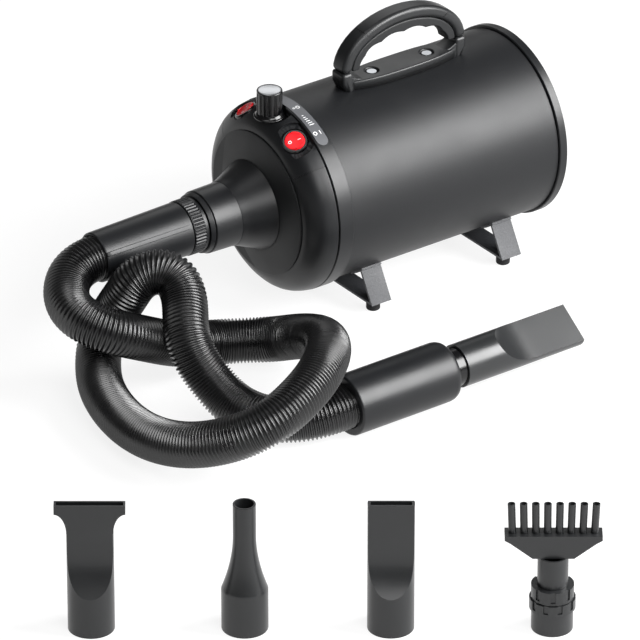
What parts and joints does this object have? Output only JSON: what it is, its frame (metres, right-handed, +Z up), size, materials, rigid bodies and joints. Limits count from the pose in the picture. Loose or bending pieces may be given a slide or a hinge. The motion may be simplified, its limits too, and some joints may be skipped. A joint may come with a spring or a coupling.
{
  "type": "pet dryer",
  "caption": "Drum blower for drying pets, with carrying handle, ribbed hose, handset and loose nozzles.",
  "frame": {"origin": "on the floor, under the middle of everything but the hose", "axes": "+Z up, +X along the drum from the hose outlet to the rear air intake"},
  "size_m": [0.7274, 0.6964, 0.2545],
  "materials": {
    "painted_steel": "satin black paint, fine texture",
    "coated_strap": "powder coat",
    "moulded_black": "satin moulded ABS",
    "handle_plastic": "semi-gloss",
    "handle_soft": "satin",
    "label_film": "satin film",
    "rubber": "matte",
    "steel": "plated",
    "brass": "plain",
    "knob_black": "glossy",
    "spun_aluminium": "spun",
    "rocker_red": "glossy",
    "board_green": "solder mask",
    "foam": "open foam",
    "block_cream": "moulded",
    "motor_metal": "cast and pressed",
    "heater_wire": "drawn wire",
    "hose_plastic": "ribbed EVA",
    "nozzle_plastic": "satin moulded"
  },
  "bodies": {
    "machine": {"drum_shell": "painted_steel", "front_trim_ring": "moulded_black", "label_plate": "label_film", "front_cap": "moulded_black", "front_panel": "moulded_black", "outlet_cone": "moulded_black", "outlet_seal": "rubber", "potentiometer": "steel", "pot_nut": "brass", "power_bezel": "knob_black", "heat_bezel": "knob_black", "control_board": "board_green", "rear_rim": "moulded_black", "rear_cover": "moulded_black", "rear_grille": "moulded_black", "filter_foam": "foam", "cord_gland": "rubber", "terminal_block": "block_cream", "rear_screws": "steel", "handle_base": "moulded_black", "handle_arch": "handle_plastic", "handle_grip": "handle_soft", "handle_screws": "steel", "front_foot_bracket": "coated_strap", "rear_foot_bracket": "coated_strap", "rubber_feet": "rubber", "foot_screws": "steel", "motor_body": "motor_metal", "motor_mount_front": "rubber", "motor_mount_rear": "rubber", "fan_housing": "motor_metal", "air_duct": "motor_metal", "heater_frame": "block_cream", "heater_coil": "heater_wire", "foam_liner": "foam", "machine_cuff": "moulded_black", "hose": "hose_plastic", "grip_sleeve": "moulded_black", "wide_nozzle": "nozzle_plastic", "round_nozzle": "nozzle_plastic", "narrow_nozzle": "nozzle_plastic", "comb_head": "nozzle_plastic", "comb_tines": "nozzle_plastic", "comb_tube": "nozzle_plastic", "comb_collar_lower": "nozzle_plastic"},
    "knob": {"knob": "knob_black", "knob_cap": "spun_aluminium", "pot_shaft": "steel"},
    "power_button": {"power_rocker": "rocker_red"},
    "heat_button": {"heat_rocker": "rocker_red"},
    "lock_ring": {"lock_ring": "moulded_black"},
    "filter_door": {"filter_cover": "moulded_black"},
    "rotor": {"motor_shaft": "steel", "impeller": "motor_metal"},
    "adapter": {"nozzle_adapter": "moulded_black"},
    "nozzle": {"fitted_nozzle": "nozzle_plastic"},
    "comb_collar": {"comb_collar_upper": "nozzle_plastic"}
  },
  "joints": [
    {"name": "knob_turn", "type": "hinge", "parent": "machine", "child": "knob", "pos_m": [0.09958, 0.26039, 0.198], "axis": [0, 0, 1], "range_deg": [-140, 140]},
    {"name": "power_rock", "type": "hinge", "parent": "machine", "child": "power_button", "pos_m": [0.10047, 0.22402, 0.17895], "axis": [0.2044, 0.8171, 0.539], "range_deg": [0, 14]},
    {"name": "heat_rock", "type": "hinge", "parent": "machine", "child": "heat_button", "pos_m": [0.10047, 0.29676, 0.17895], "axis": [-0.2044, 0.8171, -0.539], "range_deg": [0, 14]},
    {"name": "lock_turn", "type": "hinge", "parent": "machine", "child": "lock_ring", "pos_m": [0.01058, 0.26039, 0.108], "axis": [1, 0, 0], "range_deg": [0, 45]},
    {"name": "filter_pull", "type": "slide", "parent": "machine", "child": "filter_door", "axis": [1, 0, 0], "range_m": [0, 0.03]},
    {"name": "rotor_spin", "type": "hinge", "parent": "machine", "child": "rotor", "pos_m": [0.25758, 0.26039, 0.108], "axis": [1, 0, 0], "continuous": true},
    {"name": "nozzle_swivel", "type": "hinge", "parent": "machine", "child": "adapter", "pos_m": [0.12658, 0.03839, 0.027], "axis": [1, 0, 0], "range_deg": [-90, 90]},
    {"name": "nozzle_pull", "type": "slide", "parent": "adapter", "child": "nozzle", "axis": [1, 0, 0], "range_m": [0, 0.03]},
    {"name": "collar_turn", "type": "hinge", "parent": "machine", "child": "comb_collar", "pos_m": [-0.03142, -0.31861, 0.035], "axis": [0, 0, 1], "range_deg": [0, 40]}
  ]
}
